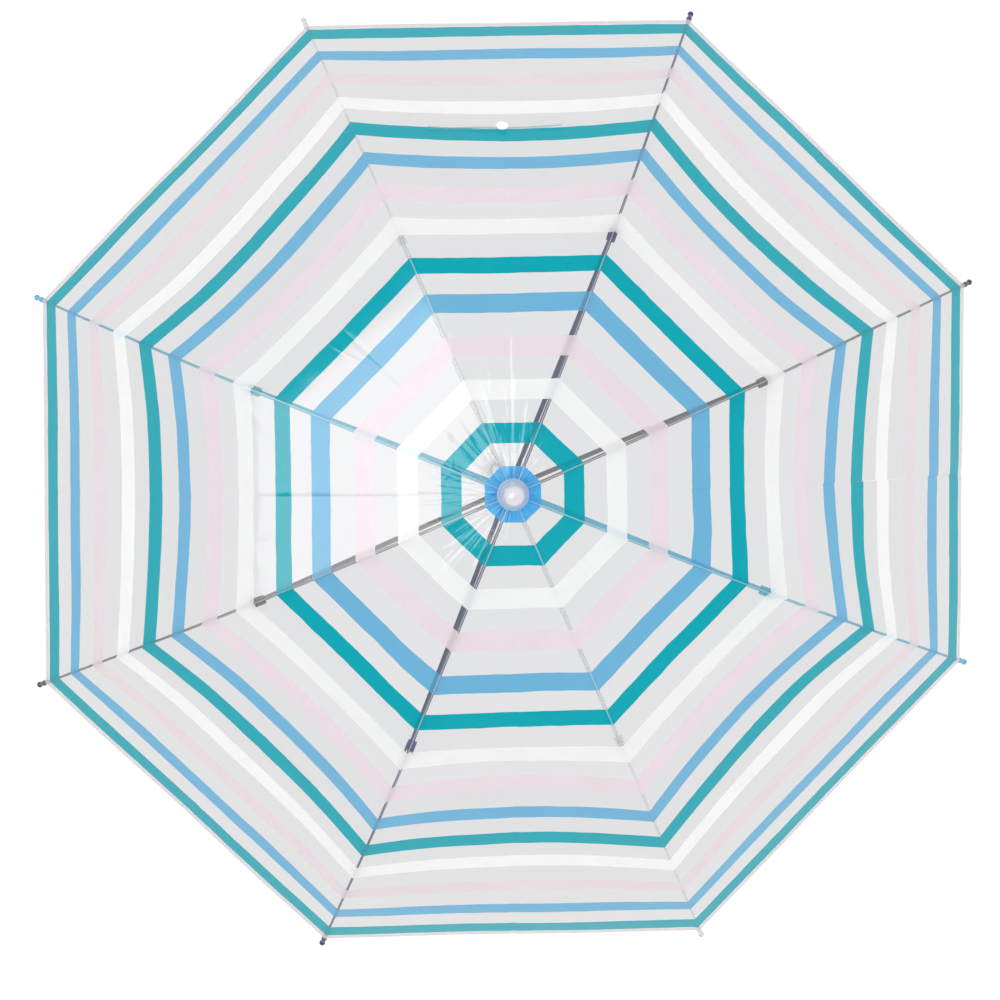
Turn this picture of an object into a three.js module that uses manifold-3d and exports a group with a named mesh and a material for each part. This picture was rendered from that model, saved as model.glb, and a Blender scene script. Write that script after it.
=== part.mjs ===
// Clear-film stick umbrella, stored open.
// Millimetres, +Z up along the shaft, origin at the bottom centre of the handle.
// Eight arms stand at 22.5, 67.5 ... 337.5 degrees round the shaft. Each arm is a two-part rib,
// joined by a forked connector, a stretcher down to the runner and a ball tip.
// Eight film gores span the ribs, held at the crown under a washer and a domed ferrule.
import * as THREE from 'three';
import { mergeVertices } from 'three/addons/utils/BufferGeometryUtils.js';
import Module from 'manifold-3d';

// ---- driving dimensions -------------------------------------------------------------------
const ARMS = 8;
const APEX_Z = 838;            // underside of the film on the axis
const FERRULE_TOP_Z = 880;
const SLOPE_AT = [ // rib arc length from the axis, slope below horizontal in degrees
  [0, 5], [60, 6.5], [82, 8], [126, 12], [170, 17], [214, 20.5], [258, 25], [302, 33], [346, 41],
  [390, 44], [434, 46.5], [478, 49], [522, 51], [566, 53], [601, 53.5], [640, 53.5],
];
const RIB_BELOW_FILM = 4.2;    // film underside to rib centreline
const FILM_T = 0.6;
const FILM_START = 6.9, FILM_END = 592;
const FILM_EDGE_GAP = 0.2;     // each gore stops this far from the rib's plane
const BOW = 6.5;               // how far a gore's middle is pulled in, at most
const S_HUB = 11.3;            // arc length of the hub pivot
const S_JOINT = 266;           // arc length of the connector's rib pin
const PIN_DROP = 5;            // stretcher pin below the rib pin
const RIB_IN_R = 1.5, RIB_OUT_R = 1.25;
const RIB_OUT_END = 608, TIP_BALL_AT = 615, TIP_BALL_R = 3.0, TIP_COLLAR_R = 2.7;
const EYE_R = 1.75, EYE_HOLE_R = 1.0, PIN_R = 0.62;
const STRETCHER_W = 4.4, STRETCHER_D = 3.0, STRETCHER_WALL = 0.75;
const FORK_SLOT = 5.1, FORK_W = 8.2;
const SHAFT_R = 5, SHAFT_BORE_R = 4, SHAFT_LOW = 14.3, SHAFT_HIGH = 862.6;
const FIT = 0.35;              // clearance between pieces that touch
const WIRE_R = 0.6;
const NOTCH_R = 13, NOTCH_CORE_R = 8.8, NOTCH_LOW = 826, NOTCH_HIGH = 835.9, NOTCH_SLOT = 3.7;
const RUNNER_R = 13.2, RUNNER_SLEEVE_R = 8.4, RUNNER_SLOT = 5.1;
const RUNNER_UP = 6, RUNNER_CROWN_DOWN = 5, RUNNER_DOWN = 62;
const CATCH_OUT_R = 7.0, CATCH_IN = 2.2, CATCH_T = 1.8, CATCH_LEN = 15.6;
const CLOSED_CHORD_DEG = 87;   // slope of hub-to-pin line when furled
const HANDLE_TOP = 170, HANDLE_R = 13.5, CAP_H = 13.6;
const STRAP_LEN = 140, STRAP_W = 13, STRAP_AT = 421, STRAP_T = 0.5, STRAP_LIFT = 2.2;
const SNAP_R = 4.4, SNAP_T = 1.6;

// ---- helpers ------------------------------------------------------------------------------
const wasm = await Module();
wasm.setup();
const DEG = Math.PI / 180;

function outward(geometry) { // makes the faces of a closed mesh point out
  const g = geometry.index ? geometry.toNonIndexed() : geometry.clone();
  for (const name of Object.keys(g.attributes)) if (name !== 'position') g.deleteAttribute(name);
  const p = g.attributes.position;
  let volume = 0;
  const a = new THREE.Vector3(), b = new THREE.Vector3(), c = new THREE.Vector3();
  for (let i = 0; i < p.count; i += 3) {
    a.fromBufferAttribute(p, i); b.fromBufferAttribute(p, i + 1); c.fromBufferAttribute(p, i + 2);
    volume += a.dot(b.clone().cross(c));
  }
  const m = mergeVertices(g, 1e-4);
  const kept = [];
  for (let i = 0; i < m.index.count; i += 3) {
    const [x, y, z] = [m.index.getX(i), m.index.getX(i + 1), m.index.getX(i + 2)];
    if (x === y || y === z || x === z) continue;
    kept.push(...(volume < 0 ? [x, z, y] : [x, y, z]));
  }
  m.setIndex(kept);
  return m;
}
function solid(geometry) {
  const m = outward(geometry);
  return new wasm.Manifold(new wasm.Mesh({
    numProp: 3,
    vertProperties: new Float32Array(m.attributes.position.array),
    triVerts: new Uint32Array(m.index.array),
  }));
}
function shape3d(manifold) {
  const mesh = manifold.getMesh();
  const g = new THREE.BufferGeometry();
  g.setAttribute('position', new THREE.BufferAttribute(new Float32Array(mesh.vertProperties), 3));
  g.setIndex(new THREE.BufferAttribute(new Uint32Array(mesh.triVerts), 1));
  return g;
}
function lathe(points, segments = 20) { // [radius, height] pairs, turned about Z
  const g = new THREE.LatheGeometry(points.map(([r, z]) => new THREE.Vector2(r, z)), segments);
  return outward(g.rotateX(Math.PI / 2));
}
function rod(radius, length, sides = 8) { // a cylinder along Y, centred
  return new THREE.CylinderGeometry(radius, radius, length, sides);
}
function block(x0, x1, y0, y1, z0, z1) {
  return new THREE.BoxGeometry(x1 - x0, y1 - y0, z1 - z0).translate((x0 + x1) / 2, (y0 + y1) / 2, (z0 + z1) / 2);
}
function polygon(radius, sides) {
  const s = new THREE.Shape();
  for (let i = 0; i < sides; i++) {
    const t = (i + 0.5) * 2 * Math.PI / sides;
    if (i) s.lineTo(radius * Math.cos(t), radius * Math.sin(t));
    else s.moveTo(radius * Math.cos(t), radius * Math.sin(t));
  }
  s.closePath();
  return s;
}
function plate(points, thickness) { // an outline in XZ, centred on Y
  const s = new THREE.Shape();
  points.forEach(([x, z], i) => (i ? s.lineTo(x, -z) : s.moveTo(x, -z)));
  s.closePath();
  const g = new THREE.ExtrudeGeometry(s, { depth: thickness, bevelEnabled: false, steps: 1 });
  return g.translate(0, 0, -thickness / 2).rotateX(-Math.PI / 2);
}

// ---- the dome's profile ---------------------------------------------------------------------
const STEP = 0.5;
const table = [{ r: 0, z: 0, a: SLOPE_AT[0][1] * DEG }];
function slopeAt(s) {
  for (let i = 1; i < SLOPE_AT.length; i++) {
    const [s0, a0] = SLOPE_AT[i - 1], [s1, a1] = SLOPE_AT[i];
    if (s <= s1) return (a0 + (a1 - a0) * (s - s0) / (s1 - s0)) * DEG;
  }
  return SLOPE_AT[SLOPE_AT.length - 1][1] * DEG;
}
for (let s = STEP; s <= 640; s += STEP) {
  const last = table[table.length - 1], a = slopeAt(s), mid = (a + last.a) / 2;
  table.push({ r: last.r + STEP * Math.cos(mid), z: last.z - STEP * Math.sin(mid), a });
}
function film(s, off = 0) { // underside of the film along a rib; off lifts it along its normal
  const i = Math.min(Math.floor(s / STEP), table.length - 2), f = s / STEP - i;
  const p = table[i], q = table[i + 1];
  const r = p.r + (q.r - p.r) * f, z = p.z + (q.z - p.z) * f, a = p.a + (q.a - p.a) * f;
  return { r: r + off * Math.sin(a), z: APEX_Z + z + off * Math.cos(a), a };
}
const rib = (s) => film(s, -RIB_BELOW_FILM);
class RibLine extends THREE.Curve {
  constructor(s0, s1) { super(); this.s0 = s0; this.s1 = s1; }
  getPoint(t, target = new THREE.Vector3()) {
    const p = rib(this.s0 + (this.s1 - this.s0) * t);
    return target.set(p.r, 0, p.z);
  }
}
function bow(s) { // inward pull of a gore's middle, none at its crown or hem
  const up = THREE.MathUtils.smoothstep(s, 250, 320), down = 1 - THREE.MathUtils.smoothstep(s, 430, 560);
  return BOW * up * down;
}
function panel(s, y, off) { // a point of the gore whose middle faces +X, y along its chord
  const p = film(s, off), half = p.r * Math.sin(Math.PI / ARMS);
  const t = y / half;
  return new THREE.Vector3(p.r * Math.cos(Math.PI / ARMS) - bow(s) * (1 - t * t), y, p.z);
}

// ---- pivots -----------------------------------------------------------------------------------
const hub = rib(S_HUB);
const pin1 = rib(S_JOINT);
const pin2 = { r: pin1.r - PIN_DROP * Math.sin(pin1.a), z: pin1.z - PIN_DROP * Math.cos(pin1.a) };
const chord = Math.hypot(pin2.r - hub.r, hub.z - pin2.z);
const chordAngle = Math.atan2(hub.z - pin2.z, pin2.r - hub.r);
const runnerZ = 2 * pin2.z - hub.z;                                      // runner pivot, open
const runnerClosedZ = hub.z - 2 * chord * Math.sin(CLOSED_CHORD_DEG * DEG);

// ---- shaft and fixed pieces -----------------------------------------------------------------
const upperCatchTop = runnerZ - RUNNER_DOWN - 0.4;
const lowerCatchLow = runnerClosedZ + RUNNER_UP + 0.5;
const upperSlot = block(2.5, 7.5, -1.25, 1.25, upperCatchTop - CATCH_LEN - 0.6, upperCatchTop + 0.6);
const lowerSlot = block(2.5, 7.5, -1.25, 1.25, lowerCatchLow - 0.6, lowerCatchLow + CATCH_LEN + 0.6);
const shaftTube = solid(lathe([
  [SHAFT_R, SHAFT_LOW], [SHAFT_R, SHAFT_HIGH], [SHAFT_BORE_R, SHAFT_HIGH], [SHAFT_BORE_R, SHAFT_LOW], [SHAFT_R, SHAFT_LOW],
])).subtract(solid(upperSlot)).subtract(solid(lowerSlot));

const BORE = SHAFT_R + FIT;
const ferrule = lathe([
  [0, SHAFT_HIGH + 0.6], [BORE, SHAFT_HIGH + 0.6], [BORE, 840], [13, 840], [13, 841.5], [11.6, 842.4], [11.2, 860],
  [10.9, 867], [9.8, 872.5], [7.3, 877], [3.9, 879.4], [0, FERRULE_TOP_Z],
]);
const washer = lathe([[BORE, 838.95], [14.6, 838.95], [14.6, 839.4], [14.2, 839.7], [BORE, 839.7], [BORE, 838.95]]);

function crown(outer, core, low, high, slot) { // a ring with a radial slot for each arm
  let body = solid(lathe([[BORE, low], [outer - 0.6, low], [outer, low + 0.6], [outer, high - 0.6], [outer - 0.6, high], [BORE, high], [BORE, low]], 16));
  for (let i = 0; i < ARMS; i++) {
    const cut = block(core, outer + 4, -slot / 2, slot / 2, low - 1, high + 1).rotateZ((22.5 + 45 * i) * DEG);
    body = body.subtract(solid(cut));
  }
  return body;
}
const grooveCut = solid(lathe([[hub.r - 1, hub.z - 1], [hub.r + 6, hub.z - 1], [hub.r + 6, hub.z + 1], [hub.r - 1, hub.z + 1], [hub.r - 1, hub.z - 1]], 16));
const topNotch = crown(NOTCH_R, NOTCH_CORE_R, NOTCH_LOW, NOTCH_HIGH, NOTCH_SLOT).subtract(grooveCut);
const notchWire = outward(new THREE.TorusGeometry(hub.r, WIRE_R, 5, 32).translate(0, 0, hub.z));

const handleGrip = lathe([
  [BORE, 14], [HANDLE_R, 14], [14.4, 22], [13.6, 48], [12.6, 80], [12.2, 105], [12.6, 130], [12.8, 148], [11.4, 160],
  [8.4, 167.5], [7.0, HANDLE_TOP], [BORE, HANDLE_TOP], [BORE, 14],
], 20);
const handleEnd = lathe([[0, 0], [10.6, 0], [12.8, 2.2], [HANDLE_R, 6], [HANDLE_R, CAP_H], [0, CAP_H]], 20);

// ---- catches: flat sprung latches that show through the shaft's slots -------------------------
const upperCatch = plate([
  [CATCH_IN, upperCatchTop - CATCH_LEN], [4.4, upperCatchTop - CATCH_LEN], [CATCH_OUT_R, upperCatchTop - 4],
  [CATCH_OUT_R, upperCatchTop], [CATCH_IN, upperCatchTop],
], CATCH_T);
const lowerCatch = plate([
  [CATCH_IN, lowerCatchLow], [CATCH_OUT_R, lowerCatchLow], [CATCH_OUT_R, lowerCatchLow + 4],
  [4.4, lowerCatchLow + CATCH_LEN], [CATCH_IN, lowerCatchLow + CATCH_LEN],
], CATCH_T);

// ---- runner: slotted crown, plain sleeve, and a keyway that clears the catches ------------------
const sleeve = solid(lathe([
  [BORE, runnerZ - RUNNER_DOWN], [RUNNER_SLEEVE_R - 0.4, runnerZ - RUNNER_DOWN], [RUNNER_SLEEVE_R, runnerZ - RUNNER_DOWN + 0.5],
  [RUNNER_SLEEVE_R, runnerZ - 1], [BORE, runnerZ - 1], [BORE, runnerZ - RUNNER_DOWN],
], 16));
const keyway = solid(block(0, CATCH_OUT_R + 0.45, -1.35, 1.35, runnerZ - RUNNER_DOWN - 1, runnerZ + RUNNER_UP + 1));
const runner = crown(RUNNER_R, NOTCH_CORE_R, runnerZ - RUNNER_CROWN_DOWN, runnerZ + RUNNER_UP, RUNNER_SLOT).add(sleeve).subtract(keyway);

// ---- one arm, lying in the XZ plane ---------------------------------------------------------------
const at = (g, p) => g.translate(p.r, 0, p.z);
const turned = (g, angle) => g.rotateY(angle); // positive tips +X down
const ribInner = solid(new THREE.ExtrudeGeometry(polygon(RIB_IN_R, 6), { steps: 7, bevelEnabled: false, extrudePath: new RibLine(S_HUB, S_JOINT - 3.9) }))
  .add(solid(at(rod(EYE_R, 2 * RIB_IN_R), hub)))
  .subtract(solid(at(rod(EYE_HOLE_R, 8), hub)));
const ribOuter = solid(new THREE.ExtrudeGeometry(polygon(RIB_OUT_R, 6), { steps: 11, bevelEnabled: false, extrudePath: new RibLine(S_JOINT + 0.2, RIB_OUT_END) }))
  .add(solid(at(rod(EYE_R, STRETCHER_W), pin1)))
  .subtract(solid(at(rod(EYE_HOLE_R, 8), pin1)));

// connector in its own frame: x along the rib outward, z along the film's normal, origin at the rib pin
const fork = solid(block(-9, 3.4, -FORK_W / 2, FORK_W / 2, -2.5, 2.2))
  .add(solid(plate([[-4.5, -2.5], [3.4, -2.5], [2.6, -6.6], [0.8, -7.6], [-1.6, -7.4], [-3.2, -5.6]], FORK_W)))
  .subtract(solid(block(-2.4, 6, -FORK_SLOT / 2, FORK_SLOT / 2, -9, 4)))
  .subtract(solid(block(-6, 6, -FORK_SLOT / 2, FORK_SLOT / 2, -9, -2.5)))
  .subtract(solid(new THREE.CylinderGeometry(RIB_IN_R + FIT, RIB_IN_R + FIT, 12, 8).rotateZ(Math.PI / 2).translate(-8, 0, 0)))
  .add(solid(rod(PIN_R, FORK_W - 0.4, 6)))
  .add(solid(rod(PIN_R, FORK_W - 0.4, 6).translate(0, 0, -PIN_DROP)));
const connector = solid(at(turned(shape3d(fork), pin1.a), pin1));

// stretcher: a channel that opens upward, from its runner end to its pin
const half = STRETCHER_W / 2, deep = STRETCHER_D / 2;
const channelShape = new THREE.Shape();
[[-half, -deep], [half, -deep], [half, deep], [half - STRETCHER_WALL, deep], [half - STRETCHER_WALL, -deep + STRETCHER_WALL],
  [-half + STRETCHER_WALL, -deep + STRETCHER_WALL], [-half + STRETCHER_WALL, deep], [-half, deep]]
  .forEach(([x, y], i) => (i ? channelShape.lineTo(x, y) : channelShape.moveTo(x, y)));
channelShape.closePath();
const channel = new THREE.ExtrudeGeometry(channelShape, { depth: chord, bevelEnabled: false, steps: 1 })
  .rotateX(Math.PI / 2).rotateZ(Math.PI / 2);             // length along +X, opening up
const stretcherFlat = solid(channel)
  .add(solid(rod(EYE_R, STRETCHER_W)))
  .add(solid(block(0, 4.5, -half, half, -deep, deep)))
  .add(solid(rod(EYE_R, STRETCHER_W).translate(chord, 0, 0)))
  .add(solid(block(chord - 4.5, chord, -half, half, -deep, deep)))
  .subtract(solid(rod(EYE_HOLE_R, 8).translate(chord, 0, 0)));
const stretcher = solid(turned(shape3d(stretcherFlat), -chordAngle).translate(hub.r, 0, runnerZ));

const ball = rib(TIP_BALL_AT);
const tip = at(turned(lathe([
  [RIB_OUT_R + FIT, -18], [2.1, -18], [2.2, -13], [TIP_COLLAR_R, -11.4], [TIP_COLLAR_R, -8], [1.8, -6.2], [1.7, -3], [2.4, -1.8], [TIP_BALL_R, 0], [2.5, 1.8], [1.4, 2.7],
  [0, TIP_BALL_R], [0, -6.4], [RIB_OUT_R + FIT, -6.4], [RIB_OUT_R + FIT, -18],
], 8).rotateY(Math.PI / 2), ball.a), ball);

// ---- gore: a thin curved panel whose middle faces +X -------------------------------------------
const stations = [];
for (let s = FILM_START; s < FILM_END - 1;) {
  stations.push(s);
  s += s < 40 ? 33.1 : s < 235 ? 39 : 26.1;
}
stations.push(FILM_END);
const gore = new THREE.BoxGeometry(1, 1, 1, 2, stations.length - 1, 1);
{
  const p = gore.attributes.position;
  for (let i = 0; i < p.count; i++) {
    const s = stations[Math.round((p.getY(i) + 0.5) * (stations.length - 1))];
    const off = p.getZ(i) > 0 ? FILM_T : 0;
    const reach = film(s, off).r * Math.sin(Math.PI / ARMS) - FILM_EDGE_GAP;
    const v = panel(s, p.getX(i) * 2 * reach, off);
    p.setXYZ(i, v.x, v.y, v.z);
  }
}
const goreSolid = outward(gore);

// ---- closure strap and its snap, lying on one gore ----------------------------------------------
const strap = new THREE.BoxGeometry(1, 1, 1, 8, 1, 1);
{
  const p = strap.attributes.position;
  for (let i = 0; i < p.count; i++) {
    const v = panel(STRAP_AT + p.getY(i) * STRAP_W, p.getX(i) * STRAP_LEN, FILM_T + STRAP_LIFT + (p.getZ(i) > 0 ? STRAP_T : 0));
    p.setXYZ(i, v.x, v.y, v.z);
  }
}
const snapSlope = Math.atan2(
  panel(STRAP_AT - 5, 0, 0).z - panel(STRAP_AT + 5, 0, 0).z, panel(STRAP_AT + 5, 0, 0).x - panel(STRAP_AT - 5, 0, 0).x);
const snapAt = panel(STRAP_AT, 0, FILM_T + STRAP_LIFT + STRAP_T + 0.5);
const snap = turned(lathe([[0, 0], [SNAP_R, 0], [SNAP_R, 0.6], [SNAP_R - 1.2, SNAP_T], [0, SNAP_T]], 16), snapSlope)
  .translate(snapAt.x, snapAt.y, snapAt.z);

// ---- materials ------------------------------------------------------------------------------------
const paint = (color, roughness, metalness = 0, opacity = 1) =>
  new THREE.MeshStandardMaterial({ color, roughness, metalness, transparent: opacity < 1, opacity });
const BROWN = 0x5b5252, NAVY = 0x333c63, WHITE = 0xe6e6e6, SKY = 0x8fbfd6;
const ARM_COLOUR = [BROWN, NAVY, WHITE, SKY, BROWN, NAVY, WHITE, SKY];

// ---- assembly ---------------------------------------------------------------------------------------
const group = new THREE.Group();
function put(name, geometry, material, parent = group) {
  const mesh = new THREE.Mesh(geometry, material);
  mesh.name = name;
  parent.add(mesh);
  return mesh;
}
put('shaft_tube', shape3d(shaftTube), paint(0xdadde0, 0.35, 0.6));
put('ferrule_cap', ferrule, paint(0xdcdae2, 0.3));
put('canopy_washer', washer, paint(0xb9cfe6, 0.3));
put('top_notch', shape3d(topNotch), paint(0xe4e4e4, 0.45));
put('top_notch_wire', notchWire, paint(0x9a9a9a, 0.3, 0.9));
put('runner', shape3d(runner), paint(0xe8e8e8, 0.4));
put('upper_catch', outward(upperCatch), paint(0xb0b0b0, 0.3, 0.9));
put('lower_catch', outward(lowerCatch), paint(0xb0b0b0, 0.3, 0.9));
put('handle_grip', handleGrip, paint(0xececec, 0.35));
put('handle_end_cap', handleEnd, paint(0xe0e0e0, 0.35));
const ribInnerG = shape3d(ribInner), ribOuterG = shape3d(ribOuter), connectorG = shape3d(connector), stretcherG = shape3d(stretcher);
for (let i = 0; i < ARMS; i++) {
  const arm = new THREE.Group();
  arm.rotation.z = (22.5 + 45 * i) * DEG;
  group.add(arm);
  const colour = ARM_COLOUR[i], n = i + 1;
  put(`rib_inner_${n}`, ribInnerG, paint(colour, 0.4), arm);
  put(`rib_outer_${n}`, ribOuterG, paint(colour, 0.4), arm);
  put(`connector_${n}`, connectorG, paint(colour, 0.5), arm);
  put(`stretcher_${n}`, stretcherG, paint(colour, 0.4), arm);
  put(`tip_${n}`, tip, paint(colour, 0.35), arm);
  const span = new THREE.Group();
  span.rotation.z = (45 + 45 * i) * DEG;
  group.add(span);
  put(`gore_${n}`, goreSolid, paint(i % 2 ? 0x4fb9cc : 0x6fc3d8, 0.15, 0, 0.6), span);
  if (i === 1) {
    put('closure_strap', outward(strap), paint(0xdfe6e8, 0.15, 0, 0.6), span);
    put('snap_button', snap, paint(0xf0f0f0, 0.35), span);
  }
}

export default group;
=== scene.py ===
import bpy, bmesh, math
import numpy as np
from mathutils import Vector, Matrix


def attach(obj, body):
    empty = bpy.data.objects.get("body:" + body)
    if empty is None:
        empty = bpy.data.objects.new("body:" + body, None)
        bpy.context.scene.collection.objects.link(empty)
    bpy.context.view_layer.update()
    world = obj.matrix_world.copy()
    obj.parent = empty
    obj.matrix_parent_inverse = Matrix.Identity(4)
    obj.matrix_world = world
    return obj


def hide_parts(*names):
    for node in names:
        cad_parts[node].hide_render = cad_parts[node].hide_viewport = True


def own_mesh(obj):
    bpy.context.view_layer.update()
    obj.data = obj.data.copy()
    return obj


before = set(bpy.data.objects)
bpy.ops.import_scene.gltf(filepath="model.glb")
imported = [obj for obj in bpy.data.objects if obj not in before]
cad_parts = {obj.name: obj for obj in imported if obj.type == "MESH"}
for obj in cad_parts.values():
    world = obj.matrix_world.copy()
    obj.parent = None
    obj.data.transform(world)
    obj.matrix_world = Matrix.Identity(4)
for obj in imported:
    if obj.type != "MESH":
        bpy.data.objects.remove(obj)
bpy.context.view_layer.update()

D = math.radians
SC = bpy.context.scene

# ------------------------------------------------------------------ camera and stage
cam = bpy.data.cameras.new("cam")
cam.sensor_width = 36.0
cam.lens = 108.83
cam.clip_end = 60
camera = bpy.data.objects.new("camera", cam)
SC.collection.objects.link(camera)
rv = Vector((-0.04511, -0.0241, -0.01782))
camera.matrix_world = Matrix.Translation((-0.07589, 0.11791, 3.54)) @ Matrix.Rotation(rv.length, 4, rv.normalized())
SC.camera = camera
SC.view_settings.view_transform = "Standard"
SC.view_settings.look = "None"
SC.cycles.transparent_max_bounces = 24
SC.cycles.max_bounces = 12

# ------------------------------------------------------------------ the dome's profile, metres
SLOPE_AT = [(0, 5), (60, 6.5), (82, 8), (126, 12), (170, 17), (214, 20.5), (258, 25), (302, 33), (346, 41),
            (390, 44), (434, 46.5), (478, 49), (522, 51), (566, 53), (601, 53.5), (640, 53.5)]
APEX = 0.838
_s = np.arange(0, 640.25, 0.25)
_a = np.radians(np.interp(_s, [p[0] for p in SLOPE_AT], [p[1] for p in SLOPE_AT]))
# the same profile with its corners eased
_k = np.exp(-0.5 * (np.arange(-60, 61) * 0.25 / 7.0) ** 2); _k /= _k.sum()
_a = np.convolve(np.pad(_a, 60, mode="edge"), _k, mode="valid")
_r = np.concatenate([[0], np.cumsum(np.cos((_a[1:] + _a[:-1]) / 2) * 0.25)]) / 1000
_z = -np.concatenate([[0], np.cumsum(np.sin((_a[1:] + _a[:-1]) / 2) * 0.25)]) / 1000
_s = _s / 1000
FILM_END, FILM_START, S_JOINT, SPLIT = 0.5955, 0.0069, 0.266, 0.268
HALF = math.sin(D(22.5)); APO = math.cos(D(22.5))


def film(s, off=0.0):
    r, z, a = np.interp(s, _s, _r), np.interp(s, _s, _z), np.interp(s, _s, _a)
    return r + off * np.sin(a), APEX + z + off * np.cos(a), a


def sstep(x, a, b):
    t = np.clip((x - a) / (b - a), 0, 1)
    return t * t * (3 - 2 * t)


def bow(s):
    return 0.0065 * sstep(s, .25, .32) * (1 - sstep(s, .43, .56))


def hashf(*k):
    v = math.sin(sum((i + 1.37) * x * 12.9898 for i, x in enumerate(k)) + 4.1) * 43758.5453
    return v - math.floor(v)


# how far the printed bands are pulled outward along the rib, in mm: for each gore, at five stations out from the crown,
# at a gore's low rib, quarter, middle, three quarters and high rib
PULL_S = [0.06, 0.19, 0.233, 0.362, 0.405, 0.534, 0.576]
PULL = [
    [[-2.7, 1.3, -0.3, -0.3, -0.0], [0.3, -1.9, -2.9, -3.2, -1.0], [2.9, -1.0, -6.4, -2.4, 5.5], [2.4, -6.2, -5.6, 0.4, 5.9], [1.1, -3.3, -0.2, 0.7, 5.1]],
    [[0.2, 0.0, 0.2, 0.8, 1.5], [-1.6, -1.4, -1.2, -0.2, 0.1], [4.1, -1.6, 0.3, -0.9, 2.4], [4.6, -0.9, -0.7, -1.4, 3.5], [3.9, 1.7, -1.2, -1.3, 2.8]],
    [[0.4, 0.6, 0.1, -0.1, 0.2], [-1.2, -1.7, -2.2, -2.1, -1.2], [-0.1, 0.6, 3.7, 1.5, 1.5], [-0.6, -2.2, -1.2, 0.2, 2.7], [0.0, -0.6, -0.0, 0.2, 1.2]],
    [[0.8, -0.1, -0.6, 0.0, 0.9], [-0.9, -1.9, -2.4, -1.5, -1.3], [-0.7, -0.3, -1.9, -2.2, 0.6], [0.6, -0.1, -2.0, -3.0, 1.2], [1.5, 0.1, -0.3, -1.9, 1.6]],
    [[0.2, 0.6, 0.7, 1.6, 2.1], [-1.0, -1.1, -0.6, 0.3, 0.4], [1.3, -1.9, 0.4, 2.8, 4.3], [1.7, -2.4, 1.9, 4.1, 4.9], [2.1, 1.5, -0.2, 0.7, 5.0]],
    [[1.7, 2.4, 2.8, 4.1, 0.3], [0.6, 0.7, 0.7, 2.0, 2.3], [6.3, 3.8, 6.3, 4.7, 7.7], [8.5, 4.3, 4.3, 4.7, 7.5], [5.5, 1.0, 1.5, 1.0, 2.3]],
    [[2.1, 1.2, 1.0, 0.0, 0.9], [1.2, 0.5, -0.8, -1.1, -1.0], [4.4, 0.7, 0.3, 0.9, 1.5], [6.1, 0.7, -0.5, 1.7, 2.1], [1.8, -0.0, -0.5, -2.1, 1.7]],
    [[2.0, 0.9, 0.2, 0.6, 1.8], [0.1, -0.8, -1.4, -0.7, -0.9], [2.2, -3.2, -3.9, -4.0, -1.9], [1.4, -0.7, -4.6, -7.8, -1.0], [1.5, 0.6, -1.7, -2.8, -0.4]],
]


def pull_table(g):
    rows = [[0] * 5] + PULL[g] + [[0] * 5]
    tt = np.linspace(-1, 1, 161)
    fine = []
    for r in rows:
        v = np.interp(tt, [-1, -.5, 0, .5, 1], r)
        k = np.hanning(49); k /= k.sum()
        fine.append(np.convolve(np.pad(v, 24, mode="edge"), k, mode="valid") * 0.75 + v * 0.25)
    return tt, np.array(fine)


PULLS = [pull_table(g) for g in range(8)]


def pull(g, s, t):
    """Metres, for a column of stations s and a row of t."""
    tt, fine = PULLS[g % 8]
    cols = np.array([np.interp(t.ravel(), tt, row) for row in fine])
    out = np.array([np.interp(s.ravel(), PULL_S, cols[:, j]) for j in range(cols.shape[1])]).T
    return out / 1000


# two arms stand a little flatter than the rest: how far each tip lies out and round from the common profile, in metres
LEAN = {1: (.0067, -.0031), 2: (.0013, -.0022), 5: (.0070, .0010), 8: (-.0011, 0)}


def lean(n, s):
    """The shift of arm n at station s, as an array of vectors."""
    out, round_ = LEAN.get(n, (0, 0))
    k = (np.maximum(0, np.asarray(s, float) - .40) / .215) ** 1.25
    a = D(22.5 + 45 * (n - 1))
    v = np.array([out * math.cos(a) - round_ * math.sin(a), out * math.sin(a) + round_ * math.cos(a), .8 * out])
    return k[..., None] * v


def gore_point(g, s, t, off=0.0):
    """A point of gore g (its middle at 45 g degrees), t from -1 at one rib to 1 at the next. Arrays broadcast."""
    r, z, a = film(s, off)
    half = r * HALF
    y = t * half
    x = r * APO - bow(s) * (1 - t * t)
    # the film sags a little between the ribs, and not quite evenly
    w = (1 - t * t)
    wave = 0.0006 * np.sin(s * 38 + g * 2.1) * w * sstep(s, .05, .2) + 0.0009 * np.sin(s * 21 + g * 1.3 + 1) * np.sin(t * 4.2 + g) * w * sstep(s, .2, .35)
    x = x + wave * np.sin(a); z = z + wave * np.cos(a)
    # the mid-panel fold line
    fold = -0.00035 * np.exp(-(y / 0.0016) ** 2) * sstep(s, .03, .08)
    x = x + fold * np.sin(a); z = z + fold * np.cos(a)
    m = D(45 * g)
    X, Y = x * math.cos(m) - y * math.sin(m), x * math.sin(m) + y * math.cos(m)
    # gathers round the crown
    th, rr = np.arctan2(Y, X), np.hypot(X, Y)
    fade = sstep(rr, .009, .016) * (1 - sstep(rr, .021, .040))
    ripple = 0.55 * np.sin(23 * th + 0.6 * np.sin(3 * th)) + 0.35 * np.sin(41 * th + 1.3) + 0.25 * np.sin(57 * th + .4)
    z = z + 0.0011 * ripple * fade + 0.0006 * fade
    low, high = (g - 1) % 8 + 1, g % 8 + 1
    s, t = np.broadcast_arrays(s, t)
    return np.stack([X, Y, z], -1) + lean(low, s) * ((1 - t) / 2)[..., None] + lean(high, s) * ((1 + t) / 2)[..., None]


# ------------------------------------------------------------------ materials
def new_mat(name):
    m = bpy.data.materials.new(name); m.use_nodes = True
    nt = m.node_tree
    for n in list(nt.nodes):
        if n.type != "OUTPUT_MATERIAL":
            nt.nodes.remove(n)
    out = [n for n in nt.nodes if n.type == "OUTPUT_MATERIAL"][0]
    return m, nt, out


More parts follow.
